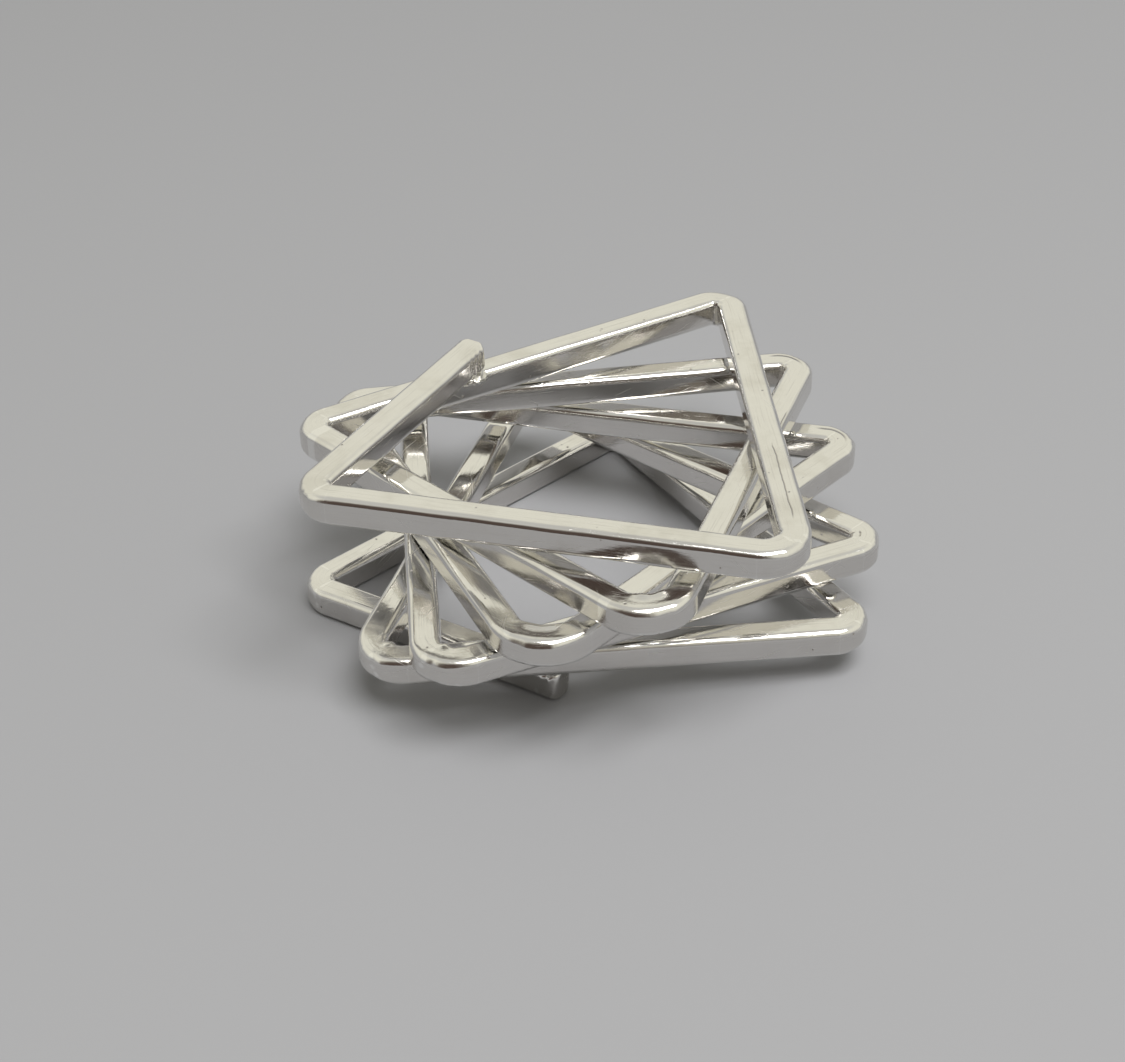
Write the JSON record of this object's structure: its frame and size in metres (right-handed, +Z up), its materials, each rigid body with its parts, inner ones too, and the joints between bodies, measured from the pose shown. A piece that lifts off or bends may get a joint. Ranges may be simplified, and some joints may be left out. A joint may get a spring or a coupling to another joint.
{
  "type": "triangular wire coil ring",
  "caption": "Springy coil ring of bright square wire, bent into stacked triangular turns that fan out round a finger hole.",
  "frame": {"origin": "in the middle of the coil's outline, 0.6 mm from its axis, in the plane of the bottom turn's level underside", "axes": "+Z up along the coil's axis through the finger hole; +X to the right of the side where the bottom end shows"},
  "size_m": [0.0346, 0.0349, 0.0138],
  "materials": {
    "plated_wire": "mirror polished silver-toned plating with fine wear scratches",
    "solder": "melted and rippled, bright, slightly duller than the wire"
  },
  "bodies": {
    "bottom_end_turn": {"bend_14": "plated_wire", "bend_15": "plated_wire", "bend_16": "plated_wire", "bend_17": "plated_wire", "leg_14": "plated_wire", "leg_15": "plated_wire", "leg_16": "plated_wire", "bottom_end_leg": "plated_wire", "bottom_end_solder": "solder"},
    "coil_bend_13": {"bend_13": "plated_wire", "leg_13": "plated_wire"},
    "coil_bend_12": {"bend_12": "plated_wire", "leg_12": "plated_wire"},
    "coil_bend_11": {"bend_11": "plated_wire", "leg_11": "plated_wire"},
    "coil_bend_10": {"bend_10": "plated_wire", "leg_10": "plated_wire"},
    "coil_bend_09": {"bend_09": "plated_wire", "leg_09": "plated_wire"},
    "coil_bend_08": {"bend_08": "plated_wire", "leg_08": "plated_wire"},
    "coil_bend_07": {"bend_07": "plated_wire", "leg_07": "plated_wire"},
    "coil_bend_06": {"bend_06": "plated_wire", "leg_06": "plated_wire"},
    "coil_bend_05": {"bend_05": "plated_wire", "leg_05": "plated_wire"},
    "top_end_turn": {"bend_01": "plated_wire", "bend_02": "plated_wire", "bend_03": "plated_wire", "bend_04": "plated_wire", "leg_01": "plated_wire", "leg_02": "plated_wire", "leg_03": "plated_wire", "leg_04": "plated_wire", "top_end_leg": "plated_wire", "top_end_solder": "solder"}
  },
  "joints": [
    {"name": "leg_13_flex", "type": "slide", "parent": "bottom_end_turn", "child": "coil_bend_13", "axis": [0, 0, 1], "range_m": [-0.00006, 0.0006]},
    {"name": "leg_12_flex", "type": "slide", "parent": "coil_bend_13", "child": "coil_bend_12", "axis": [0, 0, 1], "range_m": [-0.00006, 0.0006]},
    {"name": "leg_11_flex", "type": "slide", "parent": "coil_bend_12", "child": "coil_bend_11", "axis": [0, 0, 1], "range_m": [-0.00006, 0.0006]},
    {"name": "leg_10_flex", "type": "slide", "parent": "coil_bend_11", "child": "coil_bend_10", "axis": [0, 0, 1], "range_m": [-0.00006, 0.0006]},
    {"name": "leg_09_flex", "type": "slide", "parent": "coil_bend_10", "child": "coil_bend_09", "axis": [0, 0, 1], "range_m": [-0.00006, 0.0006]},
    {"name": "leg_08_flex", "type": "slide", "parent": "coil_bend_09", "child": "coil_bend_08", "axis": [0, 0, 1], "range_m": [-0.00006, 0.0006]},
    {"name": "leg_07_flex", "type": "slide", "parent": "coil_bend_08", "child": "coil_bend_07", "axis": [0, 0, 1], "range_m": [-0.00006, 0.0006]},
    {"name": "leg_06_flex", "type": "slide", "parent": "coil_bend_07", "child": "coil_bend_06", "axis": [0, 0, 1], "range_m": [-0.00006, 0.0006]},
    {"name": "leg_05_flex", "type": "slide", "parent": "coil_bend_06", "child": "coil_bend_05", "axis": [0, 0, 1], "range_m": [-0.00006, 0.0006]},
    {"name": "leg_04_flex", "type": "slide", "parent": "coil_bend_05", "child": "top_end_turn", "axis": [0, 0, 1], "range_m": [-0.00006, 0.0006], "stiffness_N_per_m": 1000}
  ],
  "couplings": [
    {"joint": "leg_13_flex", "follows": "leg_04_flex", "ratio": 1},
    {"joint": "leg_12_flex", "follows": "leg_04_flex", "ratio": 1},
    {"joint": "leg_11_flex", "follows": "leg_04_flex", "ratio": 1},
    {"joint": "leg_10_flex", "follows": "leg_04_flex", "ratio": 1},
    {"joint": "leg_09_flex", "follows": "leg_04_flex", "ratio": 1},
    {"joint": "leg_08_flex", "follows": "leg_04_flex", "ratio": 1},
    {"joint": "leg_07_flex", "follows": "leg_04_flex", "ratio": 1},
    {"joint": "leg_06_flex", "follows": "leg_04_flex", "ratio": 1},
    {"joint": "leg_05_flex", "follows": "leg_04_flex", "ratio": 1}
  ]
}
